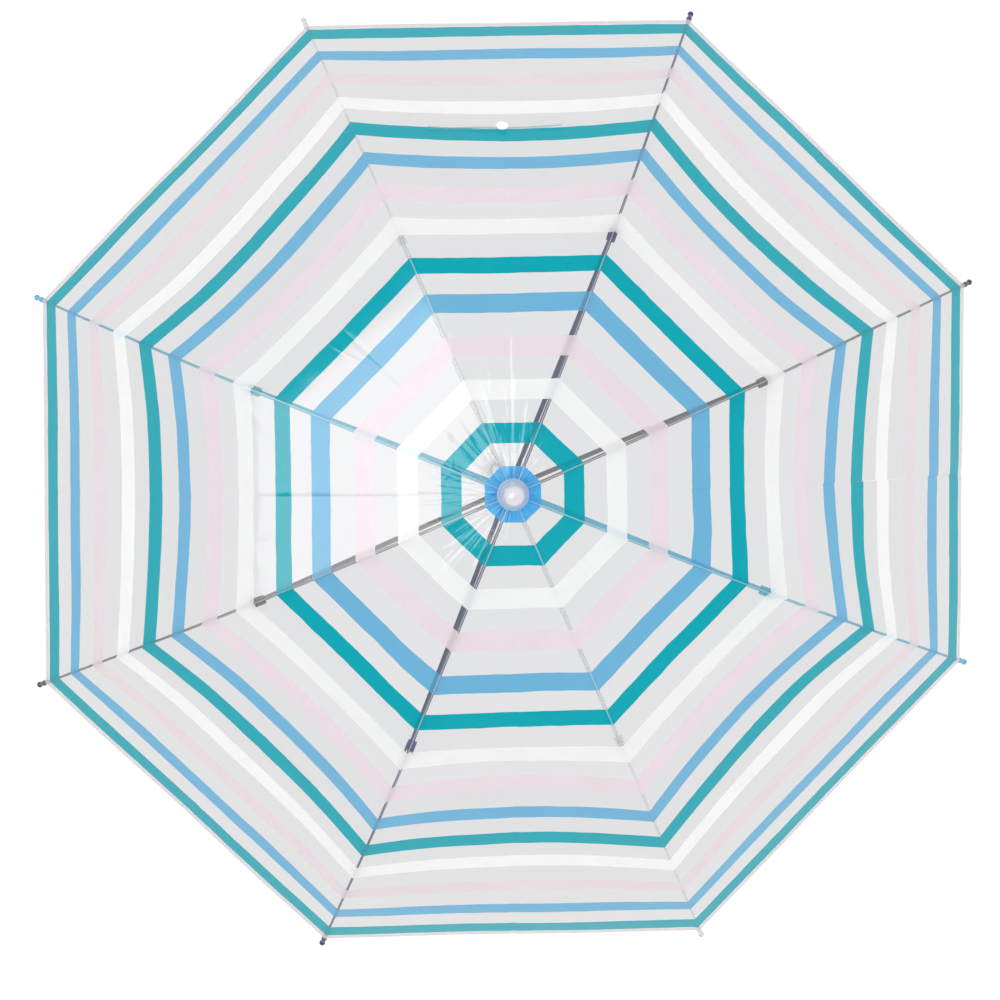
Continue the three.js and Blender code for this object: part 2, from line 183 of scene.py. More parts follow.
def node(nt, kind, **kw):
    n = nt.nodes.new(kind)
    for k, v in kw.items():
        if k.startswith("i_"):
            n.inputs[k[2:].replace("_", " ")].default_value = v
        else:
            setattr(n, k, v)
    return n


def math_node(nt, op, a, b=None, clamp=False):
    n = nt.nodes.new("ShaderNodeMath"); n.operation = op; n.use_clamp = clamp
    for i, v in enumerate((a, b)):
        if v is None: continue
        if hasattr(v, "default_value"): nt.links.new(v, n.inputs[i])
        else: n.inputs[i].default_value = v
    return n.outputs[0]


def sheen(nt, normal, base=0.035):
    """How much a thin clear film mirrors, from either side."""
    lw = node(nt, "ShaderNodeLayerWeight"); lw.inputs["Blend"].default_value = 0.5
    nt.links.new(normal, lw.inputs["Normal"])
    return math_node(nt, "ADD", math_node(nt, "MULTIPLY", math_node(nt, "POWER", lw.outputs["Facing"], 5.0), 0.9), base, clamp=True)


def solid_mat(name, colour, rough=0.4, metal=0.0, spot=0.06, grain=900.0, bump=0.00003, coat=0.0, dark=0.75, ior=1.5, sub=0.0, back=0.0, see=0.0, low=None, glow=0.0):
    """Moulded plastic, paint or metal: a colour with slow and fine variation, uneven gloss and a fine skin."""
    m, nt, out = new_mat(name)
    L = nt.links.new
    p = node(nt, "ShaderNodeBsdfPrincipled")
    p.inputs["Metallic"].default_value = metal
    p.inputs["IOR"].default_value = ior
    p.inputs["Coat Weight"].default_value = coat
    p.inputs["Coat Roughness"].default_value = 0.08
    if glow:  # painted glow: an emission that lightens the plastic beyond the light it gets; it is no lamp
        p.inputs["Emission Color"].default_value = (*colour, 1); p.inputs["Emission Strength"].default_value = glow
    if sub:
        p.inputs["Subsurface Weight"].default_value = sub
        p.inputs["Subsurface Radius"].default_value = (0.004, 0.004, 0.0045)
        p.inputs["Subsurface Scale"].default_value = 1.0
    tc = node(nt, "ShaderNodeTexCoord")
    n1 = node(nt, "ShaderNodeTexNoise"); n1.inputs["Scale"].default_value = 55; n1.inputs["Detail"].default_value = 5
    n2 = node(nt, "ShaderNodeTexNoise"); n2.inputs["Scale"].default_value = grain; n2.inputs["Detail"].default_value = 3
    L(tc.outputs["Object"], n1.inputs["Vector"]); L(tc.outputs["Object"], n2.inputs["Vector"])
    mix = node(nt, "ShaderNodeMix", data_type="RGBA", blend_type="MIX")
    mix.inputs["A"].default_value = (*colour, 1)
    mix.inputs["B"].default_value = (*[c * dark for c in colour], 1)
    ramp = node(nt, "ShaderNodeValToRGB")
    ramp.color_ramp.elements[0].position = 0.45; ramp.color_ramp.elements[1].position = 0.8
    L(n1.outputs["Fac"], ramp.inputs["Fac"])
    f = math_node(nt, "MULTIPLY", ramp.outputs["Color"], spot * 6)
    L(f, mix.inputs["Factor"])
    colour_out = mix.outputs["Result"]
    if low is not None:
        # another colour below a height: (colour, from, to)
        sp = node(nt, "ShaderNodeSeparateXYZ"); L(tc.outputs["Object"], sp.inputs[0])
        hr = node(nt, "ShaderNodeMapRange", interpolation_type="SMOOTHSTEP"); hr.inputs["From Min"].default_value = low[1]; hr.inputs["From Max"].default_value = low[2]
        L(sp.outputs["Z"], hr.inputs["Value"])
        mx = node(nt, "ShaderNodeMix", data_type="RGBA"); mx.inputs["A"].default_value = (*low[0], 1)
        L(hr.outputs["Result"], mx.inputs["Factor"]); L(colour_out, mx.inputs["B"])
        colour_out = mx.outputs["Result"]
    L(colour_out, p.inputs["Base Color"])
    mr = node(nt, "ShaderNodeMapRange")
    mr.inputs["To Min"].default_value = max(0.03, rough - 0.07); mr.inputs["To Max"].default_value = rough + 0.09
    L(n1.outputs["Fac"], mr.inputs["Value"]); L(mr.outputs["Result"], p.inputs["Roughness"])
    b = node(nt, "ShaderNodeBump"); b.inputs["Strength"].default_value = 0.6; b.inputs["Distance"].default_value = bump
    L(n2.outputs["Fac"], b.inputs["Height"]); L(b.outputs["Normal"], p.inputs["Normal"])
    last = p.outputs["BSDF"]
    if back:
        tl = node(nt, "ShaderNodeBsdfTranslucent"); L(colour_out, tl.inputs["Color"])
        mxs = node(nt, "ShaderNodeMixShader"); mxs.inputs["Fac"].default_value = back
        L(last, mxs.inputs[1]); L(tl.outputs["BSDF"], mxs.inputs[2]); last = mxs.outputs["Shader"]
    if see:
        tr = node(nt, "ShaderNodeBsdfTransparent"); tr.inputs["Color"].default_value = (.97, .97, .97, 1)
        mxs = node(nt, "ShaderNodeMixShader"); mxs.inputs["Fac"].default_value = 1 - see
        L(tr.outputs["BSDF"], mxs.inputs[1]); L(last, mxs.inputs[2]); last = mxs.outputs["Shader"]
    L(last, out.inputs["Surface"])
    return m


# printed bands: ink seen by front light, tint seen through, and how much of the light the ink stops
KINDS = {
    "clear": dict(ink=(.75, .75, .75), tint=(.758, .757, .766), cover=.165),
    "white": dict(ink=(.905, .903, .898), tint=(.95, .95, .95), cover=.93),
    "pink": dict(ink=(.825, .712, .757), tint=(.90, .80, .84), cover=.88),
    "teal": dict(ink=(.004, .375, .452), tint=(.010, .48, .56), cover=.85),
    "blue": dict(ink=(.155, .445, .675), tint=(.20, .50, .76), cover=.76),
    "crown": dict(ink=(.100, .480, .860), tint=(.10, .45, .80), cover=.86),
    # painted shade and light: the steeper outer film is seen more edge-on, so its clear bands are given darker tints to
    # pass less light, and one white band a lighter, denser ink
    "clear_painted_shade": dict(ink=(.75, .75, .75), tint=(.736, .735, .744), cover=.165),
    "clear_painted_deeper_shade": dict(ink=(.73, .73, .73), tint=(.700, .699, .708), cover=.165),
    "white_painted_light": dict(ink=(.965, .963, .957), tint=(.97, .97, .97), cover=.96),
    "hem": dict(ink=(.80, .76, .775), tint=(.93, .90, .91), cover=.50),
}


def stops():
    """(start along the rib in metres, kind)"""
    out = [(0.0, "crown"), (0.0268, "clear")]
    seq = ["teal", "white", "pink", "blue"] * 4
    for i in range(13):
        c = 0.0576 + 0.0431 * i + 0.0004 * max(0, i - 8) + {0: .0007, 3: .0009, 7: .0006, 8: .0011}.get(i, 0)
        k = seq[i]
        # the outer gaps take darker tints and band 9 a lighter white: painted shade and light for the edge-on view
        gap = "clear" if i < 4 else "clear_painted_shade" if i < 6 else "clear_painted_deeper_shade"
        w = dict(teal=.0099, white=.0101, pink=.0097, blue=.0098)[k] * (0.96 if i > 9 else 1.0)
        out += [(c - w, "white_painted_light" if i == 9 else k), (c + w, gap)]
    out[-1] = (out[-1][0], "hem")
    return out


STOPS = stops()
SPAN = 0.64


def film_material(name, extra_white=0.0, gloss=1.0):
    m, nt, out = new_mat(name)
    L = nt.links.new
    uv = node(nt, "ShaderNodeUVMap", uv_map="film")
    sep = node(nt, "ShaderNodeSeparateXYZ"); L(uv.outputs["UV"], sep.inputs[0])
    tc = node(nt, "ShaderNodeTexCoord")
    wob = node(nt, "ShaderNodeTexNoise"); wob.inputs["Scale"].default_value = 42; wob.inputs["Detail"].default_value = 3
    L(tc.outputs["Object"], wob.inputs["Vector"])
    w = math_node(nt, "MULTIPLY", math_node(nt, "SUBTRACT", wob.outputs["Fac"], 0.5), 0.0020 / SPAN)
    v = math_node(nt, "ADD", sep.outputs["Y"], w)
    ramps = {}
    for key in ("ink", "tint"):
        r = node(nt, "ShaderNodeValToRGB"); cr = r.color_ramp; cr.interpolation = "CONSTANT"
        while len(cr.elements) > 1: cr.elements.remove(cr.elements[-1])
        for i, (s, k) in enumerate(STOPS):
            e = cr.elements[0] if i == 0 else cr.elements.new(min(0.9999, s / SPAN))
            if i == 0: e.position = 0.0
            e.color = (*KINDS[k][key], KINDS[k]["cover"])
        L(v, r.inputs["Fac"]); ramps[key] = r
    # uneven ink: a slow mottling of the printed layer
    mot = node(nt, "ShaderNodeTexNoise"); mot.inputs["Scale"].default_value = 24; mot.inputs["Detail"].default_value = 4
    L(tc.outputs["Object"], mot.inputs["Vector"])
    mr = node(nt, "ShaderNodeMapRange"); mr.inputs["To Min"].default_value = 0.95; mr.inputs["To Max"].default_value = 1.05
    L(mot.outputs["Fac"], mr.inputs["Value"])
    mul = node(nt, "ShaderNodeMix", data_type="RGBA", blend_type="MULTIPLY"); mul.inputs["Factor"].default_value = 1
    L(ramps["ink"].outputs["Color"], mul.inputs["A"]); L(mr.outputs["Result"], mul.inputs["B"])
    # bump: slow waviness, crease lines and a fine film grain
    n1 = node(nt, "ShaderNodeTexNoise"); n1.inputs["Scale"].default_value = 14; n1.inputs["Detail"].default_value = 3
    vo = node(nt, "ShaderNodeTexVoronoi", feature="DISTANCE_TO_EDGE"); vo.inputs["Scale"].default_value = 7.0
    warp = node(nt, "ShaderNodeTexNoise"); warp.inputs["Scale"].default_value = 5
    L(tc.outputs["Object"], n1.inputs["Vector"]); L(tc.outputs["Object"], warp.inputs["Vector"])
    wv = node(nt, "ShaderNodeMix", data_type="VECTOR"); wv.inputs["Factor"].default_value = 0.12
    L(tc.outputs["Object"], wv.inputs["A"]); L(warp.outputs["Color"], wv.inputs["B"])
    L(wv.outputs["Result"], vo.inputs["Vector"])
    line = node(nt, "ShaderNodeMapRange"); line.inputs["From Max"].default_value = 0.02; line.inputs["To Min"].default_value = 1; line.inputs["To Max"].default_value = 0
    L(vo.outputs["Distance"], line.inputs["Value"])
    fine = node(nt, "ShaderNodeTexNoise"); fine.inputs["Scale"].default_value = 420; fine.inputs["Detail"].default_value = 2
    L(tc.outputs["Object"], fine.inputs["Vector"])
    h = math_node(nt, "ADD", math_node(nt, "MULTIPLY", n1.outputs["Fac"], 0.0013), math_node(nt, "MULTIPLY", line.outputs["Result"], 0.00012))
    h = math_node(nt, "ADD", h, math_node(nt, "MULTIPLY", fine.outputs["Fac"], 0.000005))
    # creases that fan out from the crown and die away
    xyz = node(nt, "ShaderNodeSeparateXYZ"); L(tc.outputs["Object"], xyz.inputs[0])
    ang = math_node(nt, "ARCTAN2", xyz.outputs["Y"], xyz.outputs["X"])
    rad = math_node(nt, "POWER", math_node(nt, "ADD", math_node(nt, "MULTIPLY", xyz.outputs["X"], xyz.outputs["X"]), math_node(nt, "MULTIPLY", xyz.outputs["Y"], xyz.outputs["Y"])), 0.5)
    com = node(nt, "ShaderNodeCombineXYZ")
    L(math_node(nt, "MULTIPLY", math_node(nt, "COSINE", ang), 3.0), com.inputs["X"]); L(math_node(nt, "MULTIPLY", math_node(nt, "SINE", ang), 3.0), com.inputs["Y"]); L(math_node(nt, "MULTIPLY", rad, 6.0), com.inputs["Z"])
    fan = node(nt, "ShaderNodeTexNoise"); fan.inputs["Scale"].default_value = 2.3; fan.inputs["Detail"].default_value = 2.5; L(com.outputs["Vector"], fan.inputs["Vector"])
    fade = node(nt, "ShaderNodeMapRange", interpolation_type="SMOOTHSTEP"); fade.inputs["From Min"].default_value = 0.02; fade.inputs["From Max"].default_value = 0.17
    fade.inputs["To Min"].default_value = 1; fade.inputs["To Max"].default_value = 0.06; L(rad, fade.inputs["Value"])
    h = math_node(nt, "ADD", h, math_node(nt, "MULTIPLY", math_node(nt, "MULTIPLY", fan.outputs["Fac"], fade.outputs["Result"]), 0.0026))
    b = node(nt, "ShaderNodeBump"); b.inputs["Strength"].default_value = 1.0; b.inputs["Distance"].default_value = 1.0
    L(h, b.inputs["Height"])
    ink = node(nt, "ShaderNodeBsdfPrincipled"); ink.inputs["Specular IOR Level"].default_value = 0.0
    ink.inputs["Roughness"].default_value = 0.6
    L(mul.outputs["Result"], ink.inputs["Base Color"]); L(b.outputs["Normal"], ink.inputs["Normal"])
    back = node(nt, "ShaderNodeBsdfTranslucent"); L(mul.outputs["Result"], back.inputs["Color"])
    body = node(nt, "ShaderNodeMixShader"); body.inputs["Fac"].default_value = 0.40
    L(ink.outputs["BSDF"], body.inputs[1]); L(back.outputs["BSDF"], body.inputs[2])
    clear = node(nt, "ShaderNodeBsdfTransparent"); L(ramps["tint"].outputs["Color"], clear.inputs["Color"])
    inner = node(nt, "ShaderNodeMixShader")
    cover = math_node(nt, "MULTIPLY", ramps["ink"].outputs["Alpha"], math_node(nt, "ADD", mr.outputs["Result"], extra_white), clamp=True)
    L(cover, inner.inputs["Fac"]); L(clear.outputs["BSDF"], inner.inputs[1]); L(body.outputs["Shader"], inner.inputs[2])
    gl = node(nt, "ShaderNodeBsdfGlossy"); gl.inputs["Color"].default_value = (1, 1, 1, 1)
    rr = node(nt, "ShaderNodeMapRange"); rr.inputs["To Min"].default_value = 0.07; rr.inputs["To Max"].default_value = 0.17
    L(mot.outputs["Fac"], rr.inputs["Value"]); L(rr.outputs["Result"], gl.inputs["Roughness"]); L(b.outputs["Normal"], gl.inputs["Normal"])
    fac = sheen(nt, b.outputs["Normal"], 0.031 * gloss)
    # the weld over the rib: a thin milky line
    wl = node(nt, "ShaderNodeMapRange", interpolation_type="SMOOTHSTEP"); wl.inputs["From Min"].default_value = 0.0004; wl.inputs["From Max"].default_value = 0.0008
    wl.inputs["To Min"].default_value = 0.34; wl.inputs["To Max"].default_value = 0.0
    L(sep.outputs["X"], wl.inputs["Value"])
    wf = node(nt, "ShaderNodeMapRange", interpolation_type="SMOOTHSTEP"); wf.inputs["From Min"].default_value = 0.40; wf.inputs["From Max"].default_value = 0.62
    wf.inputs["To Min"].default_value = 1.0; wf.inputs["To Max"].default_value = 0.2
    L(sep.outputs["Y"], wf.inputs["Value"]); weld = math_node(nt, "MULTIPLY", wl.outputs["Result"], wf.outputs["Result"])
    milk = node(nt, "ShaderNodeBsdfDiffuse"); milk.inputs["Color"].default_value = (.80, .82, .83, 1)
    seam = node(nt, "ShaderNodeMixShader"); L(weld, seam.inputs["Fac"]); L(inner.outputs["Shader"], seam.inputs[1]); L(milk.outputs["BSDF"], seam.inputs[2])
    inner = seam
    top = node(nt, "ShaderNodeMixShader"); L(fac, top.inputs["Fac"]); L(inner.outputs["Shader"], top.inputs[1]); L(gl.outputs["BSDF"], top.inputs[2])
    L(top.outputs["Shader"], out.inputs["Surface"])
    return m


def clear_film(name, tint, ink, cover, rough=0.1):
    m, nt, out = new_mat(name)
    L = nt.links.new
    tc = node(nt, "ShaderNodeTexCoord")
    n1 = node(nt, "ShaderNodeTexNoise"); n1.inputs["Scale"].default_value = 90; n1.inputs["Detail"].default_value = 4
    L(tc.outputs["Object"], n1.inputs["Vector"])
    b = node(nt, "ShaderNodeBump"); b.inputs["Distance"].default_value = 0.0002; L(n1.outputs["Fac"], b.inputs["Height"])
    mix = node(nt, "ShaderNodeMix", data_type="RGBA"); mix.inputs["A"].default_value = (*ink, 1); mix.inputs["B"].default_value = (*[c * .93 for c in ink], 1)
    L(n1.outputs["Fac"], mix.inputs["Factor"])
    p = node(nt, "ShaderNodeBsdfPrincipled"); p.inputs["Specular IOR Level"].default_value = 0.0; L(mix.outputs["Result"], p.inputs["Base Color"]); p.inputs["Roughness"].default_value = 0.5
    t = node(nt, "ShaderNodeBsdfTransparent"); t.inputs["Color"].default_value = (*tint, 1)
    inner = node(nt, "ShaderNodeMixShader"); inner.inputs["Fac"].default_value = cover
    L(t.outputs["BSDF"], inner.inputs[1]); L(p.outputs["BSDF"], inner.inputs[2])
    gl = node(nt, "ShaderNodeBsdfGlossy"); gl.inputs["Roughness"].default_value = rough; L(b.outputs["Normal"], gl.inputs["Normal"])
    top = node(nt, "ShaderNodeMixShader"); L(sheen(nt, b.outputs["Normal"], 0.012), top.inputs["Fac"]); L(inner.outputs["Shader"], top.inputs[1]); L(gl.outputs["BSDF"], top.inputs[2])
    L(top.outputs["Shader"], out.inputs["Surface"])
    return m


ARM = {1: "brown", 2: "navy", 3: "white", 4: "sky", 5: "brown", 6: "navy", 7: "white", 8: "sky"}
RGB = {"brown": (.235, .215, .222), "navy": (.055, .078, .215), "white": (.93, .93, .94), "sky": (.21, .80, .95)}
TIPC = {"brown": (.085, .070, .070), "navy": (.040, .052, .160), "white": (.76, .76, .77), "sky": (.12, .46, .68)}
THRU = {"brown": dict(), "navy": dict(), "white": dict(back=.12, see=.82, spot=0.02), "sky": dict(back=.45, see=.12)}
M_ROD = {k: solid_mat("coated_rod_" + k, c, 0.33, grain=1500, bump=0.00002, coat=0.2, **THRU[k]) for k, c in RGB.items()}
M_PRESSED = {k: solid_mat("painted_channel_" + k, c, 0.38, grain=700, bump=0.00004, coat=0.15, **THRU[k]) for k, c in RGB.items()}
M_FORK = {k: solid_mat("nylon_" + k, tuple(min(.95, x * 1.05) for x in c), 0.5, grain=1200, bump=0.00005, **THRU[k]) for k, c in RGB.items()}
M_TIP = {k: solid_mat("tip_plastic_" + k, c, 0.28, spot=0.03, grain=500, bump=0.00002, coat=0.3) for k, c in TIPC.items()}
M_WHITE = solid_mat("white_acetal", (.84, .84, .84), 0.42, spot=0.03, grain=800, back=.3)
# below 842.5-845 mm the ferrule's colour is painted blue: painted light, the blue crown film seen through the milky
# flange
M_PEARL = solid_mat("milky_plastic", (.74, .73, .78), 0.22, spot=0.05, grain=400, bump=0.00002, coat=0.5, dark=0.9, sub=0.6, low=((.42, .53, .76), .8425, .8450))
# the grip's glow=.12 is painted light: an emission that lightens it under the canopy
M_HANDLE = solid_mat("grip_plastic", (.92, .92, .93), 0.30, spot=0.02, grain=260, bump=0.00002, coat=0.3, dark=0.95, glow=.12)
M_SHAFT = solid_mat("shaft_enamel", (.86, .86, .87), 0.24, metal=0.0, spot=0.03, grain=1800, bump=0.00001, coat=0.25, dark=.9)
M_STEEL = solid_mat("spring_steel", (.50, .50, .52), 0.28, metal=1.0, spot=0.08, grain=1400, bump=0.00003)
M_FILM = film_material("printed_film")
M_STRAP = clear_film("strap_film", (.992, .992, .994), (.92, .93, .94), 0.03, 0.10)
# the snap's glow=.15 is painted light: an emission that keeps it white
M_SNAP = solid_mat("snap_white", (.95, .95, .95), 0.36, spot=0.02, grain=800, see=.30, glow=.15)
M_WASHER = clear_film("washer_film", (.50, .68, .88), (.50, .66, .86), 0.75, 0.12)
M_STRAPEDGE = solid_mat("strap_edge_teal", (.36, .50, .52), 0.4)

# ------------------------------------------------------------------ mesh helpers


def obj_from(name, verts, faces, mat, smooth=True, uv=None):
    me = bpy.data.meshes.new(name)
    me.from_pydata([tuple(map(float, v)) for v in verts], [], [tuple(int(i) for i in f) for f in faces])
    me.update()
    if smooth: me.polygons.foreach_set("use_smooth", [True] * len(me.polygons))
    o = bpy.data.objects.new(name, me)
    SC.collection.objects.link(o)
    me.materials.append(mat)
    if uv is not None:
        layer = me.uv_layers.new(name="film")
        uv = np.asarray(uv, np.float32)
        idx = np.zeros(len(me.loops), np.int32); me.loops.foreach_get("vertex_index", idx)
        layer.data.foreach_set("uv", uv[idx].ravel())
    return o


def grid_faces(nu, nv, base=0, wrap=False, flip=False):
    f = []
    for i in range(nu - 1):
        for j in range(nv if wrap else nv - 1):
            a, b = base + i * nv + j, base + i * nv + (j + 1) % nv
            c, d = base + (i + 1) * nv + (j + 1) % nv, base + (i + 1) * nv + j
            f.append((a, d, c, b) if flip else (a, b, c, d))
    return f


def sweep(points, section, up=Vector((0, 1, 0)), caps=True):
    """A closed tube along points in a plane, with section given as [(side, normal)] at each station."""
    pts = [Vector(p) for p in points]
    verts = []
    for i, p in enumerate(pts):
        t = (pts[min(i + 1, len(pts) - 1)] - pts[max(i - 1, 0)]).normalized()
        side = up; nrm = t.cross(side).normalized()
        if nrm.z < 0 and abs(nrm.z) > 1e-6: nrm = -nrm
        sec = section(i) if callable(section) else section
        for a, b in sec:
            verts.append(p + side * a + nrm * b)
    n = len(sec)
    faces = grid_faces(len(pts), n, wrap=True)
    if caps:
        faces += [tuple(range(n))[::-1], tuple((len(pts) - 1) * n + k for k in range(n))]
    return verts, faces


def lathe_mesh(profile, seg, axis_frame=None):
    """Turns (r, h) about +Z; first and last points may lie on the axis."""
    verts, rings = [], []
    for r, h in profile:
        if r < 1e-9:
            rings.append([len(verts)]); verts.append(Vector((0, 0, h)))
        else:
            rings.append(list(range(len(verts), len(verts) + seg)))
            verts += [Vector((r * math.cos(2 * math.pi * k / seg), r * math.sin(2 * math.pi * k / seg), h)) for k in range(seg)]
    faces = []
    for A, B in zip(rings, rings[1:]):
        if len(A) == 1 and len(B) == 1: continue
        for k in range(seg):
            k2 = (k + 1) % seg
            if len(A) == 1: faces.append((A[0], B[k], B[k2]))
            elif len(B) == 1: faces.append((A[k], B[0], A[k2]))
            else: faces.append((A[k], B[k], B[k2], A[k2]))
    if axis_frame is not None: verts = [axis_frame @ v for v in verts]
    return verts, faces


def fix_normals(o, merge=1e-6):
    bm = bmesh.new(); bm.from_mesh(o.data)
    bmesh.ops.remove_doubles(bm, verts=bm.verts, dist=merge)
    bmesh.ops.recalc_face_normals(bm, faces=bm.faces)
    bm.to_mesh(o.data); bm.free()
    return o


def sharpen(o, angle=35):
    """Smooth shading with creases over that angle."""
    me = o.data
    bm = bmesh.new(); bm.from_mesh(me)
    for e in bm.edges:
        e.smooth = not (len(e.link_faces) == 2 and e.calc_face_angle(0) > D(angle))
    for f in bm.faces: f.smooth = True
    bm.to_mesh(me); bm.free()
    return o


def bevel(o, width=0.0003, seg=2, angle=30):
    b = o.modifiers.new("bevel", "BEVEL"); b.width = width; b.segments = seg; b.limit_method = "ANGLE"; b.angle_limit = D(angle)
    b.harden_normals = False
    bpy.context.view_layer.update()
    dg = bpy.context.evaluated_depsgraph_get()
    me = bpy.data.meshes.new_from_object(o.evaluated_get(dg))
    old = o.data; o.modifiers.clear(); o.data = me
    bpy.data.meshes.remove(old)
    return o


def dense(points, step):
    """A polyline with rounded corners kept, resampled by straight interpolation at most step apart."""
    out = [points[0]]
    for a, b in zip(points, points[1:]):
        n = max(1, int(math.ceil(math.dist(a, b) / step)))
        out += [tuple(a[k] + (b[k] - a[k]) * i / n for k in range(len(a))) for i in range(1, n + 1)]
    return out


def rounded(points, radius, seg=4):
    """Rounds the inner corners of an open (r, h) profile."""
    out = [points[0]]
    for i in range(1, len(points) - 1):
        p, a, b = Vector(points[i]), Vector(points[i - 1]), Vector(points[i + 1])
        u, v = (a - p), (b - p)
        rad = min(radius, u.length * 0.45, v.length * 0.45)
        if rad < 1e-6: out.append(points[i]); continue
        q0, q1 = p + u.normalized() * rad, p + v.normalized() * rad
        for k in range(seg + 1):
            t = k / seg
            w = q0 * (1 - t) ** 2 + p * 2 * t * (1 - t) + q1 * t ** 2
            out.append((w.x, w.y))
    out.append(points[-1])
    return out


def from_cad(node_name, name, mat, width=0.0003, seg=2, angle=30):
    """A copy of a CAD node's mesh with its flat faces joined and its edges rounded."""
    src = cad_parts[node_name].data
    me = src.copy(); me.name = name
    bm = bmesh.new(); bm.from_mesh(me)
    bmesh.ops.remove_doubles(bm, verts=bm.verts, dist=2e-6)
    bmesh.ops.dissolve_limit(bm, angle_limit=D(1.0), verts=bm.verts, edges=bm.edges)
    bmesh.ops.recalc_face_normals(bm, faces=bm.faces)
    for f in bm.faces: f.smooth = True
    bm.to_mesh(me); bm.free()
    me.materials.clear(); me.materials.append(mat)
    o = bpy.data.objects.new(name, me); SC.collection.objects.link(o)
    if width: bevel(o, width, seg, angle)
    sharpen(o, 40)
    return o


def place(o, body, *nodes, slot=None):
    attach(o, body)
    if nodes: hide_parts(*nodes)
    return o


def rotz(verts, deg):
    m = Matrix.Rotation(D(deg), 3, "Z")
    return [m @ Vector(v) for v in verts]


# ------------------------------------------------------------------ film, hem and seams
AZ = {n: 22.5 + 45 * (n - 1) for n in range(1, 9)}
MM = 0.001
CH = 34  # columns from a rib to a gore's middle


def sector(n, s0, s1, name):
    ns = max(2, int(round((s1 - s0) / 0.0042)) + 1)
    rows = [(x, 0.0) for x in np.linspace(s0, s1, ns)]
    if s1 >= FILM_END - 1e-9:  # the hem: turned under and welded
        rows += [(s1 + .0004, -.0002), (s1 + .0003, -.0006), (s1 - .0012, -.0009), (s1 - .0035, -.0009), (s1 - .0058, -.0007)]
    s = np.array([q[0] for q in rows])[:, None]; off = np.array([q[1] for q in rows])[:, None]
    ns = len(rows)
    verts, faces, uv = [], [], []
    cols = np.linspace(0, 1, CH + 1) ** 1.15
    for side in (1, -1):
        # gore g's middle stands at 45 g degrees; this rib is its low side (t=-1) or its high side (t=1)
        g = n if side == 1 else n - 1
        t = ((-1 + cols) if side == 1 else (1 - cols))
        pts = gore_point(g, s, t[None, :], off)
        base = len(verts)
        verts += list(pts.reshape(-1, 3))
        r, _, _ = film(s)
        u = np.abs(1 - np.abs(t[None, :])) * r * HALF
        v = (np.minimum(s, s1) - pull(g, s, t)) / SPAN
        uv += list(np.stack([u, v], -1).reshape(-1, 2))
        faces += grid_faces(ns, CH + 1, base, flip=(side == -1))
    o = obj_from(name, verts, faces, M_FILM, True, uv)
    bm = bmesh.new(); bm.from_mesh(o.data)
    bmesh.ops.remove_doubles(bm, verts=bm.verts, dist=1e-6)
    bm.to_mesh(o.data); bm.free()
    me = o.data
    if sum(p.normal.z * p.area for p in me.polygons) < 0: me.flip_normals()
    area = sum(p.area for p in me.polygons)
    w = 2 * float(film(s1)[0]) * HALF; l = (s1 - s0) + (0.006 if s1 >= FILM_END - 1e-9 else 0)
    return o, w, l, area


def tangential(n):
    a = D(AZ[n]); return (-math.sin(a), math.cos(a), 0)


def rib_point(n, s, off=0.0):
    r, z, _ = film(s, off); a = D(AZ[n]); return (float(r) * math.cos(a), float(r) * math.sin(a), float(z))


for n in range(1, 9):
    for part, s0, s1, body, keep in (("inner", FILM_START, SPLIT, f"arm_inner_{n}", 0.09), ("outer", SPLIT, FILM_END, f"arm_outer_{n}", 0.08)):
        o, w, l, area = sector(n, s0, s1, f"film_{part}_{n}")
        place(o, body, *([f"gore_{n}"] if part == "inner" else []), slot="canopy_film")
        tangential(n)
        rib_point(n, (s0 + s1) / 2)
        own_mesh(o)

# ------------------------------------------------------------------ arms
RIB_OFF = -0.0042


def line(s0, s1, step):
    k = max(2, int(math.ceil((s1 - s0) / step)) + 1)
    return [(float(film(s, RIB_OFF)[0]), 0.0, float(film(s, RIB_OFF)[1])) for s in np.linspace(s0, s1, k)]


def circle(r, k=14):
    return [(r * math.cos(2 * math.pi * i / k), r * math.sin(2 * math.pi * i / k)) for i in range(k)]


hub = (float(film(.0113, RIB_OFF)[0]), float(film(.0113, RIB_OFF)[1]))
def leaned(n, verts, s):
    """Vertices of arm n already turned to its azimuth, shifted by its lean at one station or at each vertex's own."""
    d = lean(n, s)
    return [Vector(v) + Vector([float(q) for q in (d if d.ndim == 1 else d[i])]) for i, v in enumerate(verts)]


